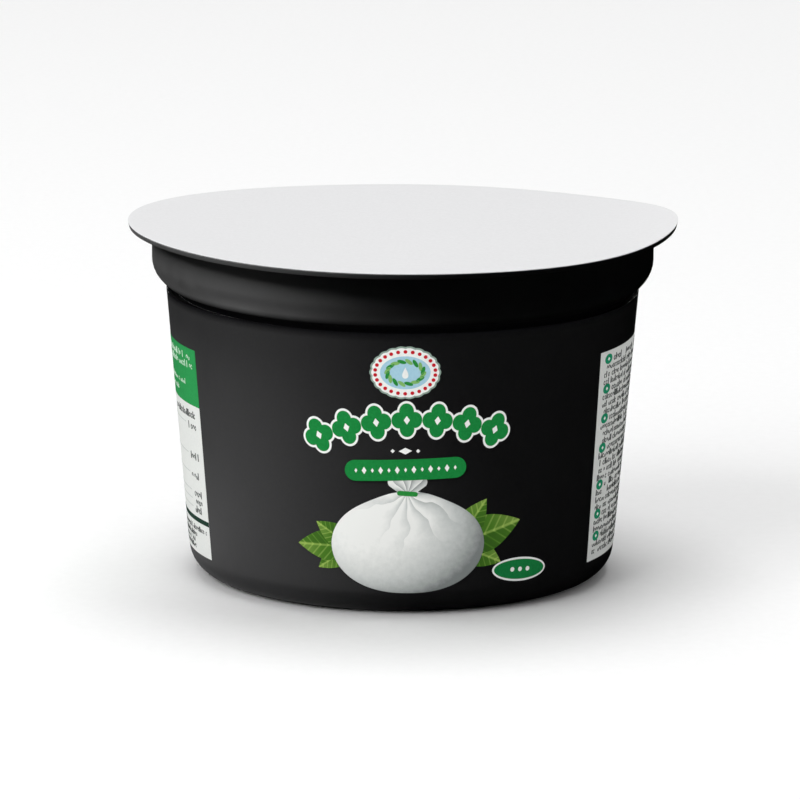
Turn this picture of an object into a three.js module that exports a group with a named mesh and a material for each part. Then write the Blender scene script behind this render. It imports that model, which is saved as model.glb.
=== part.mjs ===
// A shut pot of soft cheese: a black tub moulded in one piece, with a rolled shoulder under a flat sealing flange,
// and a white peel-off lid welded to that flange. The pot is full and sealed, so the tub is a solid.
// Millimetres, +Z up. The origin is the middle of the base, and the printed front faces -Y.

import * as THREE from "three";
import { mergeVertices } from "three/addons/utils/BufferGeometryUtils.js";

// Lid and flange
const FLANGE_RADIUS = 47.5;
const LID_TOP = 60.35; // at the middle, where the rim hasn't sprung up
const LID_THICKNESS = 0.3;
const SEAL_GAP = 0.05;
const FLANGE_THICKNESS = 0.8;

// Shoulder and tapered wall
const SHOULDER_RADIUS = 43.4;
const SHOULDER_SIDE_FOOT = 54.3; // below this the shoulder rolls under
const CREASE_RADIUS = 41;
const CREASE_HEIGHT = 50.2;
const WALL_FOOT_RADIUS = 36.65; // where the wall's straight line would meet the table

// Base
const BASE_CORNER_RADIUS = 5.1;
const BASE_RING_WIDTH = 4;
const BASE_RECESS_DEPTH = 1.2;
const BASE_RECESS_SLOPE_WIDTH = 2;

// The thin rim has sprung up at each side: gently on the left (-X), in a sharper curl on the right (+X).
const LEFT_SPRING = { rise: 1.4, power: 2.2 };
const RIGHT_SPRING = { rise: 2, power: 6 };
const SPRING_START_HEIGHT = 10; // the wall is true below this

// Facets
const SEGMENTS = 80;
const CORNER_STEPS = 3;
const TOP_RING_FRACTIONS = [1, 0.96, 0.9, 0.82, 0.7, 0.5, 0.25, 0];

const LID_UNDERSIDE = LID_TOP - LID_THICKNESS;
const FLANGE_TOP = LID_UNDERSIDE - SEAL_GAP;
const FLANGE_UNDERSIDE = FLANGE_TOP - FLANGE_THICKNESS;
const WALL_TAPER = Math.atan2(CREASE_RADIUS - WALL_FOOT_RADIUS, CREASE_HEIGHT);
const CORNER_CENTRE_RADIUS = WALL_FOOT_RADIUS - BASE_CORNER_RADIUS * Math.tan((Math.PI / 2 - WALL_TAPER) / 2);

// How far the sprung rim lifts the point at x and height z.
function springRise(x, z) {
  const { rise, power } = x < 0 ? LEFT_SPRING : RIGHT_SPRING;
  const share = (z - SPRING_START_HEIGHT) / (LID_TOP - SPRING_START_HEIGHT);
  return rise * Math.pow(Math.abs(x) / FLANGE_RADIUS, power) * Math.max(0, share);
}

// The points of a level face from the flange's edge in to the axis, close together where the rim curls.
function levelFace(height) {
  return TOP_RING_FRACTIONS.map((fraction) => new THREE.Vector2(FLANGE_RADIUS * fraction, height));
}

// A closed solid turned about Z from a half profile that runs from the axis, out and up, and back to the axis.
function turnedSolid(profile) {
  const lathe = new THREE.LatheGeometry(profile, SEGMENTS).rotateX(Math.PI / 2);
  lathe.deleteAttribute("normal");
  lathe.deleteAttribute("uv");
  const solid = mergeVertices(lathe);

  // At the axis each square of the lathe has one side of no length, so half of it is dropped.
  const corners = solid.getIndex().array;
  const kept = [];
  for (let i = 0; i < corners.length; i += 3) {
    const triangle = corners.slice(i, i + 3);
    if (new Set(triangle).size === 3) kept.push(...triangle);
  }
  solid.setIndex(kept);

  const position = solid.getAttribute("position");
  for (let i = 0; i < position.count; i++) {
    position.setZ(i, position.getZ(i) + springRise(position.getX(i), position.getZ(i)));
  }
  solid.computeVertexNormals();
  return solid;
}

function potProfile() {
  const ringInner = CORNER_CENTRE_RADIUS - BASE_RING_WIDTH;
  const springStartRadius = WALL_FOOT_RADIUS + SPRING_START_HEIGHT * Math.tan(WALL_TAPER);
  const rollMiddle = (CREASE_HEIGHT + SHOULDER_SIDE_FOOT) / 2;

  const side = new THREE.Path();
  side.moveTo(0, BASE_RECESS_DEPTH);
  side.lineTo(ringInner - BASE_RECESS_SLOPE_WIDTH, BASE_RECESS_DEPTH);
  side.lineTo(ringInner, 0);
  side.lineTo(CORNER_CENTRE_RADIUS, 0);
  side.absarc(CORNER_CENTRE_RADIUS, BASE_CORNER_RADIUS, BASE_CORNER_RADIUS, -Math.PI / 2, -WALL_TAPER, false);
  side.lineTo(springStartRadius, SPRING_START_HEIGHT);
  side.lineTo(CREASE_RADIUS, CREASE_HEIGHT);
  side.quadraticCurveTo(SHOULDER_RADIUS, rollMiddle, SHOULDER_RADIUS, SHOULDER_SIDE_FOOT);
  side.lineTo(SHOULDER_RADIUS, FLANGE_UNDERSIDE);
  side.lineTo(FLANGE_RADIUS, FLANGE_UNDERSIDE);
  return [...side.getPoints(CORNER_STEPS), ...levelFace(FLANGE_TOP)];
}

function lidProfile() {
  return [...levelFace(LID_UNDERSIDE).reverse(), ...levelFace(LID_TOP)];
}

const blackPolypropylene = new THREE.MeshStandardMaterial({ color: 0x121314, roughness: 0.42, metalness: 0 });
const whiteLacqueredFoil = new THREE.MeshStandardMaterial({ color: 0xe9e9e8, roughness: 0.5, metalness: 0 });

const pot = new THREE.Mesh(turnedSolid(potProfile()), blackPolypropylene);
pot.name = "pot";

const lid = new THREE.Mesh(turnedSolid(lidProfile()), whiteLacqueredFoil);
lid.name = "lid";

const cheesePot = new THREE.Group();
cheesePot.add(pot, lid);

export default cheesePot;
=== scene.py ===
"""A shut black pot of soft cheese with a white peel-off lid, on a pale studio floor.

Metres, +Z up, with the printed front facing -Y. The tub, its film and the lid are turned about the
axis. The print is thin ink, drawn flat in millimetres across from the front's middle line and up from
the table, then wrapped on the tapered wall.
"""

import math
from functools import partial

import bpy
import numpy as np
from mathutils import Matrix, Vector
from mathutils.geometry import delaunay_2d_cdt


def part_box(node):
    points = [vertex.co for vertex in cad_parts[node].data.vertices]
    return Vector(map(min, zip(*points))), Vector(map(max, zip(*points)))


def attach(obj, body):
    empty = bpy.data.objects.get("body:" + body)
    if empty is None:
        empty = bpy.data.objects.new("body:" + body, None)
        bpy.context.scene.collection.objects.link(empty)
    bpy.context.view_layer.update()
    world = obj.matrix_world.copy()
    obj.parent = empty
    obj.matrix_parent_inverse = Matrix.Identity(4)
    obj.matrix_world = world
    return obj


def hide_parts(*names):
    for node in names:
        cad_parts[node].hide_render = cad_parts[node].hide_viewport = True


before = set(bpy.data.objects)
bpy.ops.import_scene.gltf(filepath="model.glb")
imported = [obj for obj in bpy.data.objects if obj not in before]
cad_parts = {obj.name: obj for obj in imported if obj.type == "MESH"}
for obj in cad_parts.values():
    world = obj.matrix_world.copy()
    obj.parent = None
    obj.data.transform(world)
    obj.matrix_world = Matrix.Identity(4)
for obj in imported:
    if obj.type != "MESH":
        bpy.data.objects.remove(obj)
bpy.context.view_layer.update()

MM = 0.001

# Tub and lid, as their solids have them but for a thinner lid and a thinner, sloping flange rim
FLANGE_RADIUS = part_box("lid")[1].x
LID_TOP = 60.35 * MM
LID_UNDERSIDE = LID_TOP - 0.12 * MM
FLANGE_TOP = LID_UNDERSIDE - 0.03 * MM
FLANGE_UNDERSIDE = LID_TOP - 0.95 * MM
FLANGE_DRAFT = 0.22 * MM
SHOULDER_RADIUS = 43.4 * MM
SHOULDER_SIDE_FOOT = 54.3 * MM
CREASE_RADIUS = 41 * MM
CREASE_HEIGHT = 50.2 * MM
WALL_FOOT_RADIUS = 36.65 * MM
WALL_SLOPE = (CREASE_RADIUS - WALL_FOOT_RADIUS) / CREASE_HEIGHT
WALL_TAPER = math.atan(WALL_SLOPE)
BASE_CORNER_RADIUS = 5.1 * MM
BASE_CORNER_REACH = BASE_CORNER_RADIUS * math.tan((math.pi / 2 - WALL_TAPER) / 2)
BASE_RING_WIDTH = 4 * MM
BASE_RECESS_DEPTH = 1.2 * MM
BASE_RECESS_SLOPE_WIDTH = 2 * MM
GATE_RADIUS = 1.6 * MM
GATE_HEIGHT = 0.5 * MM

# The small radii that moulding leaves on every edge
RECESS_FILLET = 0.6 * MM
GATE_FILLET = 0.2 * MM
WALL_LIP_FILLET = 0.04 * MM
GROOVE_FILLET = 0.1 * MM
ROLL_EDGE_FILLET = 2.0 * MM
ROLL_FILLET = 4.4 * MM
FLANGE_ROOT_FILLET = 0.5 * MM
FLANGE_EDGE_FILLET = 0.1 * MM
LID_EDGE_FILLET = 0.03 * MM

# The fine groove that parts the shoulder from the wall, and how far off the painted shade ends and the
# shine comes back
GROOVE_MOUTH = 1.05 * MM
GROOVE_DEPTH = 2.0 * MM
GROOVE_DROP = 0.45 * MM
GROOVE_HEAD_DROP = 0.15 * MM
WALL_LIP = CREASE_HEIGHT - GROOVE_MOUTH
WALL_LIP_RADIUS = WALL_FOOT_RADIUS + WALL_SLOPE * WALL_LIP
GROOVE_RADIUS = CREASE_RADIUS - GROOVE_DEPTH
GROOVE_FLOOR = WALL_LIP - GROOVE_DROP
GROOVE_HEAD = CREASE_HEIGHT - GROOVE_HEAD_DROP
CREASE_SHADE_REACH = (0.2 * MM, 1.4 * MM)

# The printed film that is moulded into the wall
FILM_FOOT_TURN = math.radians(-60)
FILM_CORNER_STEPS = 8
FILM_PROUD = 0.02 * MM
INK_STEP = 0.03 * MM
INK_SINK = 0.02 * MM

# Fineness of the meshes
TURN_SEGMENTS = 288
ARC_STEP = math.radians(12)
PROFILE_STEP = 2 * MM
INK_GRID = 1.0
INK_EDGE_CLEARANCE = 0.3
WELD_DISTANCE = 0.001 * MM
ROUND_SIDES = 24
BEAD_SIDES = 16
LOZENGE_SIDES = 4
SHARP_ANGLE = math.radians(40)

# The thin rim has sprung up at each side, as its solid has
RIM_SPRING = {
    "Left Rise": 1.4 * MM,
    "Left Power": 2.2,
    "Right Rise": 2 * MM,
    "Right Power": 6.0,
    "Start Height": 10 * MM,
    "Lid Top": LID_TOP,
    "Flange Radius": FLANGE_RADIUS,
}

# Flat print is spread round the wall at the radius of its middle height
WALL_WRAP = {
    "Wall Foot Radius": WALL_FOOT_RADIUS,
    "Wall Slope": WALL_SLOPE,
    "Spread Radius": WALL_FOOT_RADIUS + WALL_SLOPE * CREASE_HEIGHT / 2,
}

# Print on the front, in millimetres and radians. An ornament's mark has its offset, width and height
MEDALLION = (0.5, 42.5)
MEDALLION_HALF_SIZE = (5.75, 4.55)
MEDALLION_LOBES = 22
MEDALLION_LOBE_DEPTH = 0.035
MEDALLION_RIM = 0.3
MEDALLION_FIELD_SHARE = (0.7, 0.62)
MEDALLION_BEADS = 26
MEDALLION_BEAD_SHARE = (0.84, 0.79)
MEDALLION_BEAD_SIZE = (0.62, 0.62)
MEDALLION_LEAVES = 16
MEDALLION_LEAF_SHARE = (0.5, 0.42)
MEDALLION_LEAF_SIZE = (1.5, 0.62)
MEDALLION_LEAF_LEAN = 1.1
MEDALLION_DROP_RADIUS = 0.72
GARLAND_MIDDLE = (0.8, 34.35)
GARLAND_RADIUS = 42.0
GARLAND_HALF_ANGLE = math.radians(20.6)
GARLAND_FLOWERS = 7
GARLAND_PETAL_REACH = 1.52
GARLAND_PETAL_RADIUS = 1.38
GARLAND_WIDTH_SHARE = 0.86
GARLAND_BORDER = 0.4
GARLAND_STUD_SIZE = (1.0, 1.5)
FRONT_TILT = math.radians(1.9)
SMALL_ORNAMENT = (0.6, 29.0)
SMALL_ORNAMENT_MARKS = ((0, 2.2, 1.15), (-2.1, 0.7, 0.7), (2.1, 0.7, 0.7))
BAND = (0.66, 25.75)
BAND_HALF_SIZE = (10.2, 1.82)
BAND_MARKS = 13
BAND_END_GAP = 1.9
BAND_MARK_SIZE = (0.8, 1.3)
BAND_SMALL_MARK_SHARE = 0.62
CHEESE = (1.2, 12.6)
CHEESE_HALF_SIZE = (13.4, 8.4)
CHEESE_NECK = (1.0, 21.6)
CHEESE_SHADE_SHARE = (1.06, 1.1)
CHEESE_LIGHT = (-0.42, 0.3, 0)
CHEESE_BULGE = 0.62
CHEESE_FOLDS_PER_RADIAN = 1.75
CHEESE_FOLD_REACH = (0.5, 12.0)
CHEESE_FOLD_DEPTH = 0.75
CHEESE_WAVER_SIZE = 50 / 7
CHEESE_CURD_SIZE = 10 / 9
FRILL_RADIUS = 4.0
FRILL_HALF_ANGLE = math.radians(66)
FRILL_LOBES = 5
FRILL_LOBE_DEPTH = 0.14
TIE_HALF_SIZE = (1.75, 0.42)
TIE_TILT = math.radians(-4)
LEAF_HALF_WIDTH = 0.27
LEAF_GRID = 0.12
LEAF_VEINS = 7
OVAL = (22.0, 7.15)
OVAL_HALF_SIZE = (5.6, 2.1)
OVAL_TILT = math.radians(-3.5)
OVAL_BORDER = 0.36
OVAL_BEAD_SIZE = 0.8
OVAL_BEAD_SPACING = 1.6
OVAL_BEAD_FALL = 0.06

# The two fans of leaves: name, first and last turn in degrees, root, and length in millimetres
LEAF_FANS = (
    ("leaves_left", 124, 58, -8.6, 12.2, 9.8),
    ("leaves_right", -114, -34, 9.6, 12.6, 12.2),
)

# Print at the two sides, in millimetres. A header line has its height, inset and letter height,
# and a fine line its height and inset
LEFT_PANEL = (-80.5, 5.1, -41.4, 41.5)
LEFT_HEADER_FOOT = 31.6
LEFT_RULE = (10.9, 11.75)
LEFT_MARGIN = 1.5
LEFT_TEXT_EDGE = -43.4
LEFT_TEXT_LENGTH = 33
LEFT_HEADER_LINES = ((40.0, 0.3, 1.15), (38.6, -0.6, 1.15), (35.3, 2.8, 0.95), (33.7, 7.2, 0.95))
LEFT_ROWS = (29.9, 27.9, 22.6, 19.2, 16.05, 14.6, 13.15)
LEFT_ROW_TALL = 1.25
LEFT_HEADING_LENGTH = 12
LEFT_FIGURE_LENGTH = 4.2
LEFT_NAME_LENGTH = 15
LEFT_NAME_RISE = 0.75
LEFT_HAIRLINE = (0.1, 0.22)
LEFT_HAIRLINE_INSET = 5
LEFT_FINE_LINES = ((9.7, -0.9), (8.5, 3.9), (7.4, 5.7), (6.3, 4.6))
LEFT_FINE_TALL = 0.95
RIGHT_PANEL = (39.9, 5.4, 78.3, 42.3)
RIGHT_LEAN = 1.6
RIGHT_MARGIN = 1.5
RIGHT_BLOCK_LINES = (4, 4, 4, 5, 4, 3, 3)
RIGHT_LINE_SPACING = 1.3
RIGHT_FIRST_LINE = 40.84
RIGHT_DOT = (2.5, 1.75)
RIGHT_DOT_GAP = 0.7
RIGHT_STUD_SHARE = (0.3, 0.36)
RIGHT_HEADING_LENGTH = 19.0
RIGHT_HEADING_TALL = 1.2
RIGHT_TEXT_LENGTH = 35.0
RIGHT_TEXT_TALL = 1.1
RIGHT_LAST_LINE_SHARE = 0.6
SEAM_HALF_WIDTH = 0.15

# Letters too small to read: the first turn and the sweep of each curl, in degrees
CURLS = ((20, 330), (45, 270), (-30, 240), (150, 240))
CURL_RADIUS = 0.4
CURL_STEPS = 8
TO_THE_RIGHT = 1
TO_THE_LEFT = -1

# The print's inks: their names, and their colours where they lie thick and thin
INKS = {
    "white": ("white_film_ink", "#f2f4f1", "#eceeeb"),
    "panel": ("panel_white_film_ink", "#e2e4e1", "#dcdedb"),
    # The right panel's ink is the panel white made darker: painted shade for the side away from the light
    "shaded_panel": ("shaded_panel_film_ink", "#d8dad7", "#d2d4d1"),
    "pale": ("pale_film_ink", "#cfe8d4", "#c3dfc9"),
    "sage": ("sage_film_ink", "#93a79b", "#879c90"),
    "leaf": ("leaf_green_film_ink", "#2f8f3f", "#288537"),
    "meadow": ("meadow_green_film_ink", "#86b96c", "#7cb063"),
    "sky": ("sky_film_ink", "#a9cfe0", "#a0c8da"),
    "red": ("red_film_ink", "#c8222e", "#bb1c28"),
    "green": ("green_film_ink", "#1c8740", "#177d39"),
    "deep_green": ("deep_green_film_ink", "#197f42", "#14753b"),
    "header": ("bright_green_film_ink", "#2c9a52", "#27914c"),
    "dark_green": ("dark_green_film_ink", "#173a2c", "#123226"),
    "dot": ("sea_green_film_ink", "#179067", "#12855e"),
    "text": ("dark_text_film_ink", "#4b4f4d", "#414543"),
    "hairline": ("hairline_film_ink", "#c4c9c6", "#bbc0bd"),
    "seam": ("seam_black_film_ink", "#070708", "#040405"),
}

# Lights about the pot: name, azimuth and elevation in degrees, distance and size in metres, and watts
OVERHEAD = ("overhead", 180, 80, 4.0, (2.6, 2.6), 94.0)
SOFT_KEY = ("soft_key", -49, 32, 1.2, (0.9, 0.9), 7.5)
SHEENS = (
    ("low_sheen", -72, 40, 1.0, (0.4, 0.4), 19.4),
    ("high_sheen", -60, 75, 1.0, (0.4, 0.4), 100.0),
    ("back_sheen", 180, 0, 0.5, (0.2, 0.05), 4.0),
)

# Patches of pale table that shine on the dark plastic: name, middle and size in millimetres, and watts
TABLE_GLOW = (
    ("table_at_left", -65, -20, 40, 40, 0.0112),
    ("table_at_foot", -27.5, -15, 65, 70, 0.0095),
)
TABLE_GLOW_HEIGHT = 0.5
FOOT_GLOW_FADE = (0.0, 0.5)
FLOOR_HALF_SIZE = 6.0
SKY_STRENGTH = 0.4

# The camera, with its lens and sensor in millimetres
CAMERA_PLACE = Vector((0, -0.8, 0.1924))
CAMERA_AIM = Vector((-0.00035, 0, 0.0297))
CAMERA_ROLL = math.radians(0.3)
CAMERA_LENS = 210.7
CAMERA_SENSOR = 36
CAMERA_REACH = 50

# The part of a noise's range that most of it lies in
NOISE_LOW = 0.3
NOISE_HIGH = 0.7


# Colours, nodes and trees

def linear(colour):
    """An sRGB hex colour as linear red, green, blue and alpha."""
    channels = [int(colour[i:i + 2], 16) / 255 for i in (1, 3, 5)]
    return [c / 12.92 if c <= 0.04045 else ((c + 0.055) / 1.055) ** 2.4 for c in channels] + [1.0]


def add(tree, kind, inputs=None, **settings):
    """Adds a node with its settings, feeds each input from a value or a socket, and gives its outputs."""
    node = tree.nodes.new(kind)
    for name, value in settings.items():
        setattr(node, name, value)
    for key, value in (inputs or {}).items():
        if isinstance(value, bpy.types.NodeSocket):
            tree.links.new(value, node.inputs[key])
        else:
            node.inputs[key].default_value = value
    return node.outputs


def new_tree(name, sizes):
    """A Geometry Nodes tree with an input for each named size, where None stands for a material."""
    tree = bpy.data.node_groups.new(name, "GeometryNodeTree")
    tree.interface.new_socket("Geometry", in_out="OUTPUT", socket_type="NodeSocketGeometry")
    tree.interface.new_socket("Geometry", in_out="INPUT", socket_type="NodeSocketGeometry")
    kinds = {int: "NodeSocketInt", float: "NodeSocketFloat", type(None): "NodeSocketMaterial"}
    for label, value in sizes.items():
        socket = tree.interface.new_socket(label, in_out="INPUT", socket_type=kinds[type(value)])
        if value is not None:
            socket.default_value = value
    return tree, add(tree, "NodeGroupInput")


def end_tree(tree, geometry, material):
    """Ends a tree that makes a piece: everything real, then its material."""
    whole = add(tree, "GeometryNodeRealizeInstances", {"Geometry": geometry})[0]
    dressed = add(tree, "GeometryNodeSetMaterial", {"Geometry": whole, "Material": material})[0]
    add(tree, "NodeGroupOutput", {0: dressed})
    return tree


def rim_spring_tree():
    """Lifts the rim, gently on the left and in a sharper curl on the right, fading down the wall."""
    tree, given = new_tree("Rim spring", RIM_SPRING)
    x, _, z = add(tree, "ShaderNodeSeparateXYZ", {0: add(tree, "GeometryNodeInputPosition")[0]})
    reach = add(tree, "ShaderNodeMath", {0: x, 1: given["Flange Radius"]}, operation="DIVIDE")[0]
    reach = add(tree, "ShaderNodeMath", {0: reach}, operation="ABSOLUTE")[0]
    rises = []
    for side in ("Left", "Right"):
        curl = add(tree, "ShaderNodeMath", {0: reach, 1: given[side + " Power"]}, operation="POWER")[0]
        rises += add(tree, "ShaderNodeMath", {0: curl, 1: given[side + " Rise"]}, operation="MULTIPLY")
    on_right = add(tree, "ShaderNodeMath", {0: x, 1: 0.0}, operation="GREATER_THAN")[0]
    rise = add(tree, "ShaderNodeMix", {0: on_right, 2: rises[0], 3: rises[1]})[0]
    share = add(tree, "ShaderNodeMapRange", {0: z, 1: given["Start Height"], 2: given["Lid Top"]})[0]
    lift = add(tree, "ShaderNodeMath", {0: rise, 1: share}, operation="MULTIPLY")[0]
    offset = add(tree, "ShaderNodeCombineXYZ", {2: lift})[0]
    sprung = add(tree, "GeometryNodeSetPosition", {"Geometry": given["Geometry"], "Offset": offset})[0]
    add(tree, "NodeGroupOutput", {0: sprung})
    return tree


def round_the_axis(tree, radius, angle, height):
    """The point at a radius, a height and an angle from the front, counted towards +X."""
    sine = add(tree, "ShaderNodeMath", {0: angle}, operation="SINE")[0]
    cosine = add(tree, "ShaderNodeMath", {0: angle}, operation="COSINE")[0]
    across = add(tree, "ShaderNodeMath", {0: radius, 1: sine}, operation="MULTIPLY")[0]
    ahead = add(tree, "ShaderNodeMath", {0: radius, 1: cosine}, operation="MULTIPLY")[0]
    back = add(tree, "ShaderNodeMath", {0: ahead, 1: -1.0}, operation="MULTIPLY")[0]
    return add(tree, "ShaderNodeCombineXYZ", {0: across, 1: back, 2: height})[0]


def turning_tree(spring):
    """Turns a half profile, given as points in order, about the axis and welds its seam and poles.

    Each point keeps its height in the profile, before the rim springs, for the materials to read.
    """
    sizes = {
        "Segments": TURN_SEGMENTS,
        "Weld Distance": WELD_DISTANCE,
        "Sharp Angle": SHARP_ANGLE,
        "Material": None,
    }
    tree, given = new_tree("Turn a profile", sizes)
    place = add(tree, "GeometryNodeInputPosition")[0]
    count = add(tree, "GeometryNodeAttributeDomainSize", {0: given["Geometry"]})["Point Count"]
    columns = add(tree, "ShaderNodeMath", {0: given["Segments"], 1: 1.0}, operation="ADD")[0]
    sheet = {"Size X": 2 * math.pi, "Size Y": 1.0, "Vertices X": columns, "Vertices Y": count}
    grid = add(tree, "GeometryNodeMeshGrid", sheet)["Mesh"]
    angle, row, _ = add(tree, "ShaderNodeSeparateXYZ", {0: place})
    last = add(tree, "ShaderNodeMath", {0: count, 1: 1.0}, operation="SUBTRACT")[0]
    share = add(tree, "ShaderNodeMath", {0: row, 1: 0.5}, operation="ADD")[0]
    row = add(tree, "ShaderNodeMath", {0: share, 1: last}, operation="MULTIPLY")[0]
    row = add(tree, "ShaderNodeMath", {0: row}, operation="ROUND")[0]
    profile = {"Geometry": given["Geometry"], "Value": place, "Index": row}
    point = add(tree, "GeometryNodeSampleIndex", profile, data_type="FLOAT_VECTOR")[0]
    radius, _, height = add(tree, "ShaderNodeSeparateXYZ", {0: point})
    turned = round_the_axis(tree, radius, angle, height)
    marked = {"Geometry": grid, "Name": "height", "Value": height}
    grid = add(tree, "GeometryNodeStoreNamedAttribute", marked)[0]
    body = add(tree, "GeometryNodeSetPosition", {"Geometry": grid, "Position": turned})[0]
    body = add(tree, "GeometryNodeGroup", {"Geometry": body}, node_tree=spring)[0]
    weld = {"Geometry": body, "Distance": given["Weld Distance"]}
    body = add(tree, "GeometryNodeMergeByDistance", weld)[0]
    body = add(tree, "GeometryNodeSetShadeSmooth", {"Geometry": body})[0]
    edge_turn = add(tree, "GeometryNodeInputMeshEdgeAngle")["Unsigned Angle"]
    is_sharp = {0: edge_turn, 1: given["Sharp Angle"]}
    is_sharp = add(tree, "ShaderNodeMath", is_sharp, operation="GREATER_THAN")[0]
    crisp = {"Geometry": body, "Selection": is_sharp, "Shade Smooth": False}
    body = add(tree, "GeometryNodeSetShadeSmooth", crisp, domain="EDGE")[0]
    return end_tree(tree, body, given["Material"])


def wall_wrap_tree(spring):
    """Bends flat ink round the tapered wall: X goes round, Y goes up, and Z stands out from the wall."""
    tree, given = new_tree("Wrap on the wall", WALL_WRAP)
    x, y, z = add(tree, "ShaderNodeSeparateXYZ", {0: add(tree, "GeometryNodeInputPosition")[0]})
    angle = add(tree, "ShaderNodeMath", {0: x, 1: given["Spread Radius"]}, operation="DIVIDE")[0]
    taper = add(tree, "ShaderNodeMath", {0: y, 1: given["Wall Slope"]}, operation="MULTIPLY")[0]
    wall = add(tree, "ShaderNodeMath", {0: taper, 1: given["Wall Foot Radius"]}, operation="ADD")[0]
    radius = add(tree, "ShaderNodeMath", {0: wall, 1: z}, operation="ADD")[0]
    wrapped = round_the_axis(tree, radius, angle, y)
    ink = add(tree, "GeometryNodeSetPosition", {"Geometry": given["Geometry"], "Position": wrapped})[0]
    ink = add(tree, "GeometryNodeGroup", {"Geometry": ink}, node_tree=spring)[0]
    add(tree, "NodeGroupOutput", {0: ink})
    return tree


def sheet_tree(wrap):
    """Lays flat sheets of ink on the wall."""
    tree, given = new_tree("Ink sheets", {"Material": None})
    ink = add(tree, "GeometryNodeGroup", {"Geometry": given["Geometry"]}, node_tree=wrap)[0]
    return end_tree(tree, ink, given["Material"])


def marks_tree(wrap):
    """Prints a round or many-sided mark at each point, of the point's own width, height and turn."""
    tree, given = new_tree("Ink marks", {"Sides": ROUND_SIDES, "Ink Depth": INK_STEP, "Material": None})
    size = {
        name: add(tree, "GeometryNodeInputNamedAttribute", {"Name": name})[0]
        for name in ("wide", "tall", "turn")
    }
    disc = {"Vertices": given["Sides"], "Radius": 0.5, "Depth": 1.0}
    mark = add(tree, "GeometryNodeMeshCylinder", disc)["Mesh"]
    scale = add(tree, "ShaderNodeCombineXYZ", {0: size["wide"], 1: size["tall"], 2: given["Ink Depth"]})[0]
    turn = add(tree, "ShaderNodeCombineXYZ", {2: size["turn"]})[0]
    laid = {"Points": given["Geometry"], "Instance": mark, "Rotation": turn, "Scale": scale}
    ink = add(tree, "GeometryNodeInstanceOnPoints", laid)[0]
    ink = add(tree, "GeometryNodeRealizeInstances", {"Geometry": ink})[0]
    ink = add(tree, "GeometryNodeGroup", {"Geometry": ink}, node_tree=wrap)[0]
    return end_tree(tree, ink, given["Material"])


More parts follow.
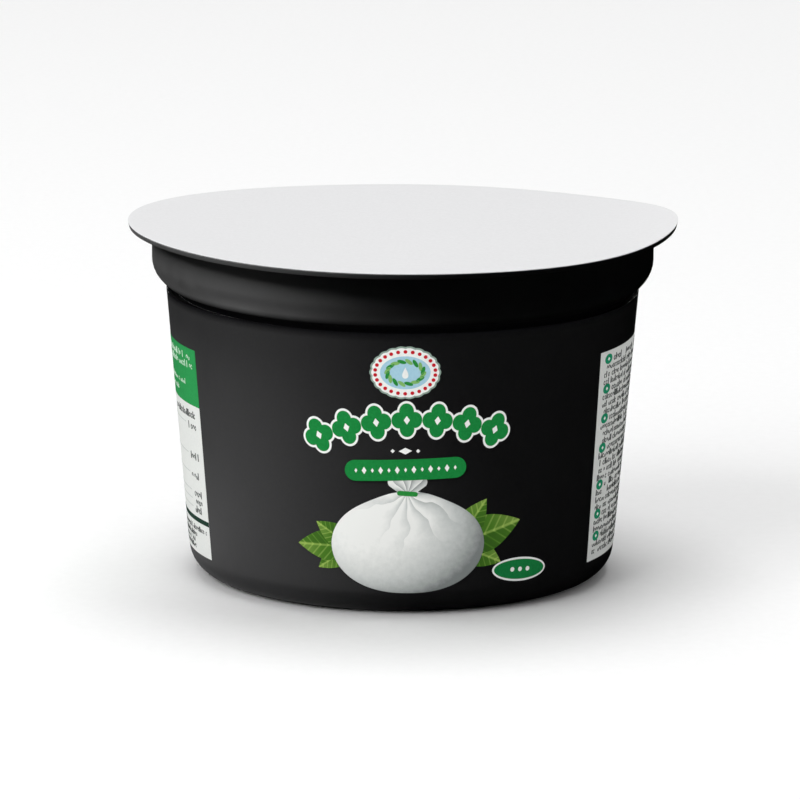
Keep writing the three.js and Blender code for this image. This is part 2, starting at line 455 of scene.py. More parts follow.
def lines_tree(wrap):
    """Fills a line from each point with curls and upright strokes, like text that is too small to read."""
    sizes = {
        "Letters": 90,
        "Narrowest Letter": 0.4,
        "Widest Letter": 0.66,
        "Stroke": 0.25,
        "Letter Gap": 0.11,
        "Low Letter": 0.7,
        "Tall Share": 0.3,
        "Space Share": 0.14,
        "Ink Depth": INK_STEP,
        "Seed": 3,
        "Material": None,
    }
    tree, given = new_tree("Ink lines", sizes)
    size = {
        name: add(tree, "GeometryNodeInputNamedAttribute", {"Name": name})[0]
        for name in ("line", "long", "tall", "way", "wide", "high")
    }
    index = add(tree, "GeometryNodeInputIndex")[0]

    def chance(low, high, turn):
        """A random number for each letter, with its own turn of the seed."""
        seed = add(tree, "ShaderNodeMath", {0: given["Seed"], 1: turn}, operation="ADD")[0]
        return add(tree, "FunctionNodeRandomValue", {2: low, 3: high, "ID": index, "Seed": seed})[1]

    def is_under(value, limit):
        """Whether a value lies under a limit."""
        return add(tree, "ShaderNodeMath", {0: value, 1: limit}, operation="LESS_THAN")[0]

    lines = {"Geometry": given["Geometry"], "Name": "line", "Value": index}
    lines = add(tree, "GeometryNodeStoreNamedAttribute", lines)[0]
    letters = {"Geometry": lines, "Amount": given["Letters"]}
    letters = add(tree, "GeometryNodeDuplicateElements", letters, domain="POINT")[0]
    is_tall = is_under(chance(0.0, 1.0, 1.0), given["Tall Share"])
    round_width = chance(given["Narrowest Letter"], given["Widest Letter"], 0.0)
    wide = add(tree, "ShaderNodeMix", {0: is_tall, 2: round_width, 3: given["Stroke"]})[0]
    high = add(tree, "ShaderNodeMix", {0: is_tall, 2: given["Low Letter"], 3: 1.0})[0]
    for name, share in (("wide", wide), ("high", high)):
        value = add(tree, "ShaderNodeMath", {0: share, 1: size["tall"]}, operation="MULTIPLY")[0]
        letters = {"Geometry": letters, "Name": name, "Value": value}
        letters = add(tree, "GeometryNodeStoreNamedAttribute", letters)[0]

    step = {0: given["Letter Gap"], 1: size["tall"], 2: size["wide"]}
    step = add(tree, "ShaderNodeMath", step, operation="MULTIPLY_ADD")[0]
    start = add(tree, "GeometryNodeAccumulateField", {"Value": step, "Group ID": size["line"]})["Trailing"]
    middle = add(tree, "ShaderNodeMath", {0: size["wide"], 1: 0.5, 2: start}, operation="MULTIPLY_ADD")[0]
    along = add(tree, "ShaderNodeMath", {0: middle, 1: size["way"]}, operation="MULTIPLY")[0]
    short = add(tree, "ShaderNodeMath", {0: size["high"], 1: size["tall"]}, operation="SUBTRACT")[0]
    drop_by = add(tree, "ShaderNodeMath", {0: short, 1: 0.5}, operation="MULTIPLY")[0]
    offset = add(tree, "ShaderNodeCombineXYZ", {0: along, 1: drop_by})[0]
    letters = add(tree, "GeometryNodeSetPosition", {"Geometry": letters, "Offset": offset})[0]
    end = add(tree, "ShaderNodeMath", {0: start, 1: size["wide"]}, operation="ADD")[0]
    too_far = add(tree, "ShaderNodeMath", {0: end, 1: size["long"]}, operation="GREATER_THAN")[0]
    is_space = is_under(chance(0.0, 1.0, 2.0), given["Space Share"])
    unwanted = add(tree, "ShaderNodeMath", {0: too_far, 1: is_space}, operation="MAXIMUM")[0]
    letters = add(tree, "GeometryNodeDeleteGeometry", {"Geometry": letters, "Selection": unwanted})[0]

    nib = {"Width": given["Stroke"], "Height": given["Stroke"]}
    pen = add(tree, "GeometryNodeCurvePrimitiveQuadrilateral", nib)[0]
    curls = add(tree, "GeometryNodeGeometryToInstance")[0].node
    for first, sweep in CURLS:
        bend = {"Start Angle": math.radians(first), "Sweep Angle": math.radians(sweep)}
        arc = {"Resolution": CURL_STEPS, "Radius": CURL_RADIUS, **bend}
        arc = add(tree, "GeometryNodeCurveArc", arc)[0]
        curl = {"Curve": arc, "Profile Curve": pen, "Fill Caps": True}
        tree.links.new(add(tree, "GeometryNodeCurveToMesh", curl)[0], curls.inputs[0])
    bar = add(tree, "GeometryNodeMeshCube", {"Size": (1, 1, 1)})["Mesh"]
    depth = add(tree, "ShaderNodeMath", {0: given["Ink Depth"], 1: given["Stroke"]}, operation="DIVIDE")[0]
    is_curl = is_under(size["high"], size["tall"])
    is_bar = add(tree, "FunctionNodeBooleanMath", {0: is_curl}, operation="NOT")[0]
    ink = add(tree, "GeometryNodeJoinGeometry")[0].node
    for chosen, shape, picks, thick in (
        (is_curl, curls.outputs[0], True, depth),
        (is_bar, bar, False, given["Ink Depth"]),
    ):
        scale = add(tree, "ShaderNodeCombineXYZ", {0: size["wide"], 1: size["high"], 2: thick})[0]
        which = chance(0.0, float(len(CURLS)), 3.0)
        laid = {"Points": letters, "Selection": chosen, "Instance": shape, "Scale": scale}
        laid = {**laid, "Pick Instance": picks, "Instance Index": which}
        tree.links.new(add(tree, "GeometryNodeInstanceOnPoints", laid)[0], ink.inputs[0])
    ink = add(tree, "GeometryNodeRealizeInstances", {"Geometry": ink.outputs[0]})[0]
    ink = add(tree, "GeometryNodeGroup", {"Geometry": ink}, node_tree=wrap)[0]
    return end_tree(tree, ink, given["Material"])


def fan_tree(wrap):
    """Spreads copies of one leaf in a fan, the outer leaves shorter, each lying over the one before."""
    sizes = {
        "Count": 3,
        "First Turn": 0.0,
        "Last Turn": 1.0,
        "Root X": 0.0,
        "Root Y": 0.0,
        "Length": 0.01,
        "Outer Shrink": 0.25,
        "Ink Step": INK_STEP / 3,
        "Material": None,
    }
    tree, given = new_tree("Leaf fan", sizes)
    index = add(tree, "GeometryNodeInputIndex")[0]
    last = add(tree, "ShaderNodeMath", {0: given["Count"], 1: 1.0}, operation="SUBTRACT")[0]
    share = add(tree, "ShaderNodeMath", {0: index, 1: last}, operation="DIVIDE")[0]
    turn = add(tree, "ShaderNodeMix", {0: share, 2: given["First Turn"], 3: given["Last Turn"]})[0]
    spread = add(tree, "ShaderNodeMapRange", {0: share, 3: -1.0, 4: 1.0})[0]
    spread = add(tree, "ShaderNodeMath", {0: spread}, operation="ABSOLUTE")[0]
    shrink = add(tree, "ShaderNodeMath", {0: spread, 1: given["Outer Shrink"]}, operation="MULTIPLY")[0]
    share_left = add(tree, "ShaderNodeMath", {0: 1.0, 1: shrink}, operation="SUBTRACT")[0]
    length = add(tree, "ShaderNodeMath", {0: share_left, 1: given["Length"]}, operation="MULTIPLY")[0]
    height = add(tree, "ShaderNodeMath", {0: index, 1: given["Ink Step"]}, operation="MULTIPLY")[0]
    root = add(tree, "ShaderNodeCombineXYZ", {0: given["Root X"], 1: given["Root Y"], 2: height})[0]
    points = add(tree, "GeometryNodePoints", {"Count": given["Count"], "Position": root})[0]
    rotation = add(tree, "ShaderNodeCombineXYZ", {2: turn})[0]
    scale = add(tree, "ShaderNodeCombineXYZ", {0: length, 1: length, 2: 1.0})[0]
    laid = {"Points": points, "Instance": given["Geometry"], "Rotation": rotation, "Scale": scale}
    ink = add(tree, "GeometryNodeInstanceOnPoints", laid)[0]
    ink = add(tree, "GeometryNodeRealizeInstances", {"Geometry": ink})[0]
    ink = add(tree, "GeometryNodeGroup", {"Geometry": ink}, node_tree=wrap)[0]
    return end_tree(tree, ink, given["Material"])


def grow(name, start, tree, sizes):
    """Runs a tree on a start mesh, its sizes set by socket identifier, and keeps the result as a mesh."""
    piece = bpy.data.objects.new(name, start)
    bpy.context.scene.collection.objects.link(piece)
    modifier = piece.modifiers.new(tree.name, "NODES")
    modifier.node_group = tree
    for item in tree.interface.items_tree:
        if item.in_out == "INPUT" and item.name in sizes:
            modifier[item.identifier] = sizes[item.name]
    depsgraph = bpy.context.evaluated_depsgraph_get()
    made = bpy.data.meshes.new_from_object(
        piece.evaluated_get(depsgraph), preserve_all_data_layers=True, depsgraph=depsgraph
    )
    piece.modifiers.remove(modifier)
    piece.data = made
    made.name = name
    return piece


# Outlines and start meshes

def rounded(corners):
    """A line through (across, up, fillet) corners, each turned by an arc of its own radius."""
    points = [Vector(corners[0][:2])]
    for before, corner, after in zip(corners, corners[1:], corners[2:]):
        here = Vector(corner[:2])
        back = (Vector(before[:2]) - here).normalized()
        ahead = (Vector(after[:2]) - here).normalized()
        half_turn = (math.pi - back.angle(ahead)) / 2
        start = here + back * corner[2] * math.tan(half_turn)
        centre = here + (back + ahead).normalized() * corner[2] / math.cos(half_turn)
        sweep = math.copysign(2 * half_turn, ahead.cross(back))
        steps = max(2, math.ceil(2 * half_turn / ARC_STEP))
        for i in range(steps + 1):
            points.append(centre + Matrix.Rotation(sweep * i / steps, 2) @ (start - centre))
    points.append(Vector(corners[-1][:2]))
    return points


def spaced(points, longest):
    """The same line, with points added so that no stretch of it is longer than asked."""
    line = [Vector(points[0])]
    for start, end in zip(points, points[1:]):
        start, end = Vector(start), Vector(end)
        steps = max(1, math.ceil((end - start).length / longest))
        line += [start.lerp(end, (i + 1) / steps) for i in range(steps)]
    return line


def profile_mesh(name, line):
    """The points of a half profile, for turning: X is the radius and Z the height."""
    mesh = bpy.data.meshes.new(name)
    mesh.from_pydata([(p.x, 0, p.y) for p in spaced(line, PROFILE_STEP)], [], [])
    return mesh


def points_mesh(name, rows):
    """Points on the flat print, in millimetres, each with its own named sizes."""
    mesh = bpy.data.meshes.new(name)
    places = [(row["x"] * MM, row["y"] * MM, ink_top(row["level"]) - INK_STEP / 2) for row in rows]
    mesh.from_pydata(places, [], [])
    for label in sorted(set(rows[0]) - {"x", "y", "level"}):
        unit = 1 if label in ("turn", "way") else MM
        values = mesh.attributes.new(label, "FLOAT", "POINT")
        values.data.foreach_set("value", [row[label] * unit for row in rows])
    return mesh


def placed(outline, x, y, tilt=0.0):
    """An outline drawn round the origin, turned and moved to its place."""
    return [Matrix.Rotation(tilt, 2) @ Vector(point) + Vector((x, y)) for point in outline]


def ellipse(half_width, half_height, points=96, lobes=0, depth=0.0):
    """An ellipse, with its edge swelling in equal lobes if asked."""
    outline = []
    for i in range(points):
        angle = 2 * math.pi * i / points
        swell = 1 - depth * (1 - abs(math.cos(lobes * angle / 2)))
        outline.append((half_width * swell * math.cos(angle), half_height * swell * math.sin(angle)))
    return outline


def panel(left, foot, right, head, lean=0.0):
    """A rectangle whose left edge may lean out to the top, with points along it so that it can bend."""
    corners = [(left, foot), (right, foot), (right, head), (left - lean, head), (left, foot)]
    return spaced(corners, INK_GRID)[:-1]


def stadium(half_length, half_height):
    """A bar with round ends, with points along it so that it can bend."""
    straight = half_length - half_height
    steps = 12
    ends = []
    for side in (1, -1):
        for i in range(steps + 1):
            angle = -math.pi / 2 + math.pi * i / steps
            across = straight + half_height * math.cos(angle)
            ends.append((side * across, side * half_height * math.sin(angle)))
    return spaced(ends + ends[:1], INK_GRID)[:-1]


def flower(reach, radius, petals=4):
    """Round petals about the origin: each is a circle of the radius, with its middle at the reach."""
    points = 32 * petals
    outline = []
    for i in range(points):
        turn = 2 * math.pi * i / points
        off = (turn + math.pi / petals) % (2 * math.pi / petals) - math.pi / petals
        edge = reach * math.cos(off) + math.sqrt(radius ** 2 - (reach * math.sin(off)) ** 2)
        outline.append((edge * math.cos(turn), edge * math.sin(turn)))
    return outline


def pouch(half_width, half_height):
    """A plump round, fuller than an ellipse, that rises to a short neck."""
    points = 120
    side_power, top_power = 0.86, 0.94
    neck_rise, neck_power = 0.12, 16
    narrowing = 0.05
    outline = []
    for i in range(points):
        turn = 2 * math.pi * i / points
        across = math.copysign(abs(math.cos(turn)) ** side_power, math.cos(turn))
        up = math.copysign(abs(math.sin(turn)) ** top_power, math.sin(turn))
        neck = neck_rise * max(0.0, up) ** neck_power
        outline.append((half_width * across * (1 - narrowing * max(0.0, up)), half_height * (up + neck)))
    return outline


def ruffle(radius, half_angle, lobes, depth):
    """The gathered frill above a tied neck: a fan from the origin with a lobed edge."""
    root_depth = 0.25
    outline = [(0.0, -root_depth * radius)]
    steps = lobes * 10
    for i in range(steps + 1):
        angle = half_angle * (1 - 2 * i / steps)
        edge = radius * (1 - depth * (1 - abs(math.sin(math.pi * lobes * i / steps))))
        outline.append((edge * math.sin(angle), edge * math.cos(angle)))
    return outline


def leaf(half_width):
    """A pointed leaf of length 1 along Y, its root at the origin."""
    steps = 24
    lean, fullness = 0.8, 0.9
    edge = []
    for i in range(1, steps):
        share = i / steps
        edge.append((half_width * math.sin(math.pi * share ** lean) ** fullness, share))
    return [(0.0, 0.0)] + edge + [(0.0, 1.0)] + [(-x, y) for x, y in reversed(edge)]


def drop(radius):
    """A falling drop, its point upwards."""
    points = 48
    pinch_power, length_share = 1.6, 1.35
    outline = []
    for i in range(points):
        angle = 2 * math.pi * i / points
        pinch = math.sin(angle / 2) ** pinch_power
        outline.append((radius * math.sin(angle) * pinch, radius * math.cos(angle) * length_share))
    return outline[::-1]


def ink_top(level):
    """How far the top of an ink layer stands off the wall. Layers are numbered from 1, next to the film."""
    return FILM_PROUD + level * INK_STEP


def inside(points, outline, grid):
    """Which points of a grid lie inside an outline and clear of its edge."""
    edge = np.array(outline)
    after = np.roll(edge, -1, axis=0)
    crossings = np.zeros(len(points), dtype=int)
    nearest = np.full(len(points), np.inf)
    for a, b in zip(edge, after):
        crosses = (a[1] > points[:, 1]) != (b[1] > points[:, 1])
        level = np.where(crosses, points[:, 1] - a[1], 0) / (b[1] - a[1] if b[1] != a[1] else 1)
        crossings += crosses & (points[:, 0] < a[0] + level * (b[0] - a[0]))
        along = np.clip(((points - a) @ (b - a)) / max((b - a) @ (b - a), 1e-12), 0, 1)
        nearest = np.minimum(nearest, np.linalg.norm(points - a - along[:, None] * (b - a), axis=1))
    return (crossings % 2 == 1) & (nearest > INK_EDGE_CLEARANCE * grid)


def ink_sheet(level, *outlines, grid=INK_GRID, unit=MM):
    """A flat closed sheet of ink inside any of the outlines, with points in it so that it can bend.

    Gives its points, its faces and the flat place of each point.
    """
    points, rings = [], []
    for outline in outlines:
        rings.append(list(range(len(points), len(points) + len(outline))))
        points += [Vector(p) for p in outline]
    low, high = np.min(points, axis=0), np.max(points, axis=0)
    across = np.arange(low[0] + grid / 2, high[0], grid)
    up = np.arange(low[1] + grid / 2, high[1], grid)
    within = np.array([(x, y) for x in across for y in up]).reshape(-1, 2)
    kept = np.any([inside(within, outline, grid) for outline in outlines], axis=0)
    points += [Vector(p) for p in within[kept]]
    made = delaunay_2d_cdt(points, [], rings, 1, 1e-6)
    flat, triangles = made[0], [tuple(face) for face in made[2]]
    count = len(flat)
    head, foot = ink_top(level), ink_top(level - 1) - INK_SINK
    solid = [(p.x * unit, p.y * unit, z) for z in (head, foot) for p in flat]
    edges = {edge for a, b, c in triangles for edge in ((a, b), (b, c), (c, a))}
    rim = [(a + count, b + count, b, a) for a, b in edges if (b, a) not in edges]
    under = [(c + count, b + count, a + count) for a, b, c in triangles]
    return solid, triangles + under + rim, [tuple(p) for p in flat] * 2


def ink_mesh(name, sheets):
    """Several sheets as one mesh. Its map holds each point's flat place in the units it was drawn in."""
    points, faces, places = [], [], []
    for solid, sheet_faces, flat in sheets:
        faces += [tuple(i + len(points) for i in face) for face in sheet_faces]
        points += solid
        places += flat
    mesh = bpy.data.meshes.new(name)
    mesh.from_pydata(points, [], faces)
    rim = {frozenset(pair) for face in faces if len(face) == 4 for pair in zip(face, face[1:] + face[:1])}
    mesh.polygons.foreach_set("use_smooth", [True] * len(faces))
    mesh.edges.foreach_set("use_edge_sharp", [frozenset(edge.vertices) in rim for edge in mesh.edges])
    flat_map = mesh.uv_layers.new(name="flat")
    flat_map.data.foreach_set("uv", [c for loop in mesh.loops for c in places[loop.vertex_index]])
    return mesh


# Materials

def new_material(name, **sockets):
    """A material with one principled shader, and what is the same all over set on its sockets."""
    material = bpy.data.materials.new(name)
    material.use_nodes = True
    shader = material.node_tree.nodes["Principled BSDF"]
    for label, value in sockets.items():
        shader.inputs[label.replace("_", " ")].default_value = value
    return material, material.node_tree, shader


def surface_detail(tree, shader, grain, roughness, depth, colours):
    """Fine grain that mottles the colour, varies the gloss and dimples the surface.

    The grain is given by its size, a little coarser than the real one so that it shows.
    """
    place = add(tree, "ShaderNodeTexCoord")["Object"]
    noise = add(tree, "ShaderNodeTexNoise", {"Vector": place, "Scale": 1 / grain, "Detail": 3.0})["Fac"]
    broad = add(tree, "ShaderNodeTexNoise", {"Vector": place, "Scale": 0.1 / grain, "Detail": 2.0})["Fac"]
    even = add(tree, "ShaderNodeMapRange", {0: noise, 1: NOISE_LOW, 2: NOISE_HIGH})[0]
    tint = {0: even, 6: linear(colours[0]), 7: linear(colours[1])}
    colour = add(tree, "ShaderNodeMix", tint, data_type="RGBA")[2]
    gloss = {0: broad, 1: NOISE_LOW, 2: NOISE_HIGH, 3: roughness[0], 4: roughness[1]}
    gloss = add(tree, "ShaderNodeMapRange", gloss)[0]
    bump = add(tree, "ShaderNodeBump", {"Height": noise, "Distance": depth, "Strength": 0.5})[0]
    tree.links.new(colour, shader.inputs["Base Color"])
    tree.links.new(gloss, shader.inputs["Roughness"])
    tree.links.new(bump, shader.inputs["Normal"])


def painted_crease_shade(tree, shader, edge, shine):
    """Paints shade next to the crease by taking the shine off there, as if the fold of the wall kept the
    light out.
    """
    height = add(tree, "ShaderNodeAttribute", attribute_name="height")["Fac"]
    off = add(tree, "ShaderNodeMath", {0: height, 1: edge}, operation="SUBTRACT")[0]
    off = add(tree, "ShaderNodeMath", {0: off}, operation="ABSOLUTE")[0]
    level = {0: off, 1: CREASE_SHADE_REACH[0], 2: CREASE_SHADE_REACH[1], 3: shine[0], 4: shine[1]}
    level = add(tree, "ShaderNodeMapRange", level)[0]
    tree.links.new(level, shader.inputs["Specular IOR Level"])


def satin_black_polypropylene():
    """Injection-moulded tub: deep black with a soft broad shine and the faint grain of the mould."""
    material, tree, shader = new_material("satin_black_polypropylene", IOR=1.54)
    surface_detail(tree, shader, 0.35 * MM, (0.62, 0.68), 0.004 * MM, ("#040405", "#070708"))
    # Painted shade: the tub's shine is dulled next to the crease
    painted_crease_shade(tree, shader, CREASE_HEIGHT, (0.1, 1.0))
    return material


def charcoal_film():
    """In-mould film printed charcoal: a little lighter and flatter than the bare tub."""
    material, tree, shader = new_material("charcoal_in_mould_film", IOR=1.49)
    surface_detail(tree, shader, 0.5 * MM, (0.7, 0.76), 0.003 * MM, ("#0c0c0e", "#111113"))
    # Painted shade: the film's shine is dulled next to the groove's lip
    painted_crease_shade(tree, shader, WALL_LIP, (0.02, 0.34))
    return material


def white_lacquered_foil():
    """Peel-off lid: foil under a white heat-seal lacquer, almost flat, with a soft even sheen."""
    material, tree, shader = new_material("white_lacquered_foil", IOR=1.45, Specular_IOR_Level=0.0)
    surface_detail(tree, shader, 0.6 * MM, (0.6, 0.7), 0.004 * MM, ("#d8d8d9", "#dcdcdd"))
    return material


def film_ink(name, light, dark):
    """Ink seen through the clear face of the film: satin, with a faint mottle where it lies thinner."""
    material, tree, shader = new_material(name, IOR=1.49, Specular_IOR_Level=0.03)
    surface_detail(tree, shader, 0.4 * MM, (0.5, 0.6), 0.002 * MM, (dark, light))
    return material


def cheese_ink():
    """The cheese in the print: white and round, lit from the left, with folds down from the tied neck."""
    film = {"IOR": 1.49, "Specular_IOR_Level": 0.03, "Roughness": 0.5}
    material, tree, shader = new_material("printed_cheese_ink", **film)
    flat = add(tree, "ShaderNodeUVMap", uv_map="flat")[0]

    # The round of the ball
    middle = add(tree, "ShaderNodeVectorMath", {0: flat, 1: (*CHEESE, 0)}, operation="SUBTRACT")[0]
    half = [size * share for size, share in zip(CHEESE_HALF_SIZE, CHEESE_SHADE_SHARE)]
    half = {0: middle, 1: (*half, 1)}
    middle = add(tree, "ShaderNodeVectorMath", half, operation="DIVIDE")[0]
    edge = add(tree, "ShaderNodeVectorMath", {0: middle, 1: middle}, operation="DOT_PRODUCT")["Value"]
    bulge = add(tree, "ShaderNodeMath", {0: 1.0, 1: edge}, operation="SUBTRACT", use_clamp=True)[0]
    bulge = add(tree, "ShaderNodeMath", {0: bulge, 1: 0.5}, operation="POWER")[0]
    lit = {0: middle, 1: CHEESE_LIGHT}
    lit = add(tree, "ShaderNodeVectorMath", lit, operation="DOT_PRODUCT")["Value"]
    lit = add(tree, "ShaderNodeMath", {0: bulge, 1: CHEESE_BULGE, 2: lit}, operation="MULTIPLY_ADD")[0]

    # Folds that fan out from the neck and fade down the ball
    from_neck = {0: flat, 1: (*CHEESE_NECK, 0)}
    from_neck = add(tree, "ShaderNodeVectorMath", from_neck, operation="SUBTRACT")[0]
    x, y, _ = add(tree, "ShaderNodeSeparateXYZ", {0: from_neck})
    down = add(tree, "ShaderNodeMath", {0: y, 1: -1.0}, operation="MULTIPLY")[0]
    angle = add(tree, "ShaderNodeMath", {0: x, 1: down}, operation="ARCTAN2")[0]
    waver = {"Vector": flat, "Scale": 1 / CHEESE_WAVER_SIZE, "Detail": 2.0}
    waver = add(tree, "ShaderNodeTexNoise", waver)["Fac"]
    fold = {0: angle, 1: CHEESE_FOLDS_PER_RADIAN, 2: waver}
    fold = add(tree, "ShaderNodeMath", fold, operation="MULTIPLY_ADD")[0]
    fold = add(tree, "ShaderNodeMath", {0: fold, 1: waver}, operation="ADD")[0]
    fold = add(tree, "ShaderNodeMath", {0: fold}, operation="FRACT")[0]
    fold = add(tree, "ShaderNodeMapRange", {0: fold, 3: 0.5, 4: -0.5})[0]
    far = add(tree, "ShaderNodeVectorMath", {0: from_neck}, operation="LENGTH")["Value"]
    fade = {0: far, 1: CHEESE_FOLD_REACH[0], 2: CHEESE_FOLD_REACH[1], 3: CHEESE_FOLD_DEPTH, 4: 0.0}
    fade = add(tree, "ShaderNodeMapRange", fade, interpolation_type="SMOOTHSTEP")[0]
    fold = add(tree, "ShaderNodeMath", {0: fold, 1: fade}, operation="MULTIPLY")[0]

    # Fine curd all over
    curd = {"Vector": flat, "Scale": 1 / CHEESE_CURD_SIZE, "Detail": 5.0, "Roughness": 0.6}
    curd = add(tree, "ShaderNodeTexNoise", curd)["Fac"]
    curd = add(tree, "ShaderNodeMapRange", {0: curd, 1: NOISE_LOW, 2: NOISE_HIGH, 3: 0.16, 4: 0.26})[0]
    shade = add(tree, "ShaderNodeMath", {0: lit, 1: fold}, operation="ADD")[0]
    shade = add(tree, "ShaderNodeMath", {0: shade, 1: curd}, operation="ADD")[0]
    ramp = add(tree, "ShaderNodeValToRGB", {"Fac": shade})
    stops = ramp[0].node.color_ramp.elements
    stops[0].position, stops[0].color = 0.1, linear("#7f8483")
    stops[1].position, stops[1].color = 0.95, linear("#f0f1ee")
    stops.new(0.5).color = linear("#c3c7c5")
    tree.links.new(ramp[0], shader.inputs["Base Color"])
    return material


def leaf_ink():
    """The leaves in the print: green, lighter towards the tip, with a pale midrib and paired side veins."""
    film = {"IOR": 1.49, "Specular_IOR_Level": 0.03, "Roughness": 0.45}
    material, tree, shader = new_material("printed_leaf_ink", **film)

    # Places on the leaf are shares of its length
    x, y, _ = add(tree, "ShaderNodeSeparateXYZ", {0: add(tree, "ShaderNodeUVMap", uv_map="flat")[0]})
    across = add(tree, "ShaderNodeMath", {0: x}, operation="ABSOLUTE")[0]
    slant = add(tree, "ShaderNodeMath", {0: across, 1: -0.9, 2: y}, operation="MULTIPLY_ADD")[0]
    veins = add(tree, "ShaderNodeMath", {0: slant, 1: 2 * math.pi * LEAF_VEINS}, operation="MULTIPLY")[0]
    veins = add(tree, "ShaderNodeMath", {0: veins}, operation="COSINE")[0]
    veins = add(tree, "ShaderNodeMapRange", {0: veins, 1: 0.55, 2: 1.0, 3: 0.0, 4: 0.22})[0]
    rib = add(tree, "ShaderNodeMapRange", {0: across, 1: 0.008, 2: 0.03, 3: 0.35, 4: 0.0})[0]
    fold = add(tree, "ShaderNodeMapRange", {0: x, 1: -0.02, 2: 0.02, 3: 0.12, 4: -0.08})[0]
    shade = add(tree, "ShaderNodeMapRange", {0: y, 1: 0.0, 2: 1.0, 3: 0.12, 4: 0.6})[0]
    for part in (veins, rib, fold):
        shade = add(tree, "ShaderNodeMath", {0: shade, 1: part}, operation="ADD")[0]
    ramp = add(tree, "ShaderNodeValToRGB", {"Fac": shade})
    stops = ramp[0].node.color_ramp.elements
    stops[0].position, stops[0].color = 0.0, linear("#1d3a16")
    stops[1].position, stops[1].color = 1.0, linear("#9bb85a")
    stops.new(0.5).color = linear("#487624")
    tree.links.new(ramp[0], shader.inputs["Base Color"])
    return material


def pale_studio_paper():
    """Matt roll paper: almost white and without shine, so that the shadow falls on it softly."""
    material, tree, shader = new_material("pale_studio_paper", Specular_IOR_Level=0.0)
    surface_detail(tree, shader, 2 * MM, (0.85, 0.9), 0.002 * MM, ("#f4f4f4", "#f6f6f6"))
    return material


# Pieces

def pot_piece(turning):
    """The tub: base, tapered wall, crease, rolled shoulder and sealing flange, turned as one solid."""
    ring_inner = WALL_FOOT_RADIUS - BASE_CORNER_REACH - BASE_RING_WIDTH
    roll_corner = (CREASE_HEIGHT + SHOULDER_SIDE_FOOT) / 2
    corners = [
        (0, BASE_RECESS_DEPTH - GATE_HEIGHT),
        (GATE_RADIUS, BASE_RECESS_DEPTH - GATE_HEIGHT, GATE_FILLET),
        (GATE_RADIUS, BASE_RECESS_DEPTH, GATE_FILLET),
        (ring_inner - BASE_RECESS_SLOPE_WIDTH, BASE_RECESS_DEPTH, RECESS_FILLET),
        (ring_inner, 0, RECESS_FILLET),
        (WALL_FOOT_RADIUS, 0, BASE_CORNER_RADIUS),
        (WALL_LIP_RADIUS, WALL_LIP, WALL_LIP_FILLET),
        (GROOVE_RADIUS, GROOVE_FLOOR, GROOVE_FILLET),
        (GROOVE_RADIUS, GROOVE_HEAD, GROOVE_FILLET),
        (CREASE_RADIUS, CREASE_HEIGHT, ROLL_EDGE_FILLET),
        (SHOULDER_RADIUS, roll_corner, ROLL_FILLET),
        (SHOULDER_RADIUS, FLANGE_UNDERSIDE, FLANGE_ROOT_FILLET),
        (FLANGE_RADIUS - FLANGE_DRAFT, FLANGE_UNDERSIDE, FLANGE_EDGE_FILLET),
        (FLANGE_RADIUS, FLANGE_TOP, FLANGE_EDGE_FILLET),
        (0, FLANGE_TOP),
    ]
    profile = profile_mesh("pot_profile", rounded(corners))
    return grow("pot", profile, turning, {"Material": satin_black_polypropylene()})


def film_piece(turning):
    """The printed film: a thin sleeve sunk into the tub, from the base corner up and into the groove."""
    corner = Vector((WALL_FOOT_RADIUS - BASE_CORNER_REACH, BASE_CORNER_RADIUS))

    def face(proud):
        """One face of the sleeve, standing off the tub by so much."""
        line = []
        for i in range(FILM_CORNER_STEPS + 1):
            turn = FILM_FOOT_TURN - (WALL_TAPER + FILM_FOOT_TURN) * i / FILM_CORNER_STEPS
            line.append(corner + (BASE_CORNER_RADIUS + proud) * Vector((math.cos(turn), math.sin(turn))))
        line.append(Vector((WALL_LIP_RADIUS + proud, WALL_LIP + proud)))
        line.append(Vector((GROOVE_RADIUS + proud, GROOVE_FLOOR + proud)))
        line.append(Vector((GROOVE_RADIUS + proud, GROOVE_HEAD - GROOVE_FILLET)))
        return line

    outer, inner = face(FILM_PROUD), face(-INK_SINK)
    sleeve = profile_mesh("film_profile", outer + inner[::-1] + outer[:1])
    return grow("label_film", sleeve, turning, {"Material": charcoal_film()})


def lid_piece(turning):
    """The peel-off lid: a thin disc flush with the flange."""
    corners = [
        (0, LID_UNDERSIDE),
        (FLANGE_RADIUS, LID_UNDERSIDE, LID_EDGE_FILLET),
        (FLANGE_RADIUS, LID_TOP, LID_EDGE_FILLET),
        (0, LID_TOP),
    ]
    profile = profile_mesh("lid_profile", rounded(corners))
    return grow("lid", profile, turning, {"Material": white_lacquered_foil()})


def print_sheet(made, tree, name, ink, *layers):
    """Adds a piece of flat sheets of one ink. A layer is its level and then its outlines."""
    mesh = ink_mesh(name, [ink_sheet(*layer) for layer in layers])
    made.append(grow(name, mesh, tree, {"Material": ink}))


def print_marks(made, tree, name, ink, sides, rows):
    """Adds a piece of small marks of one ink, all with the same number of sides."""
    made.append(grow(name, points_mesh(name, rows), tree, {"Sides": sides, "Material": ink}))


def print_lines(made, tree, name, ink, rows, seed):
    """Adds a piece of lines of small curls and strokes of one ink."""
    made.append(grow(name, points_mesh(name, rows), tree, {"Seed": seed, "Material": ink}))


def mark_row(x, y, level, size, turn=0):
    """One small mark of a width and height at a place on the flat print."""
    return {"x": x, "y": y, "level": level, "wide": size[0], "tall": size[1], "turn": turn}


def line_row(x, y, long, tall, way, level=2):
    """One line of curls and strokes from a place on the flat print, to the right or the left."""
    return {"x": x, "y": y, "long": long, "tall": tall, "way": way, "level": level}


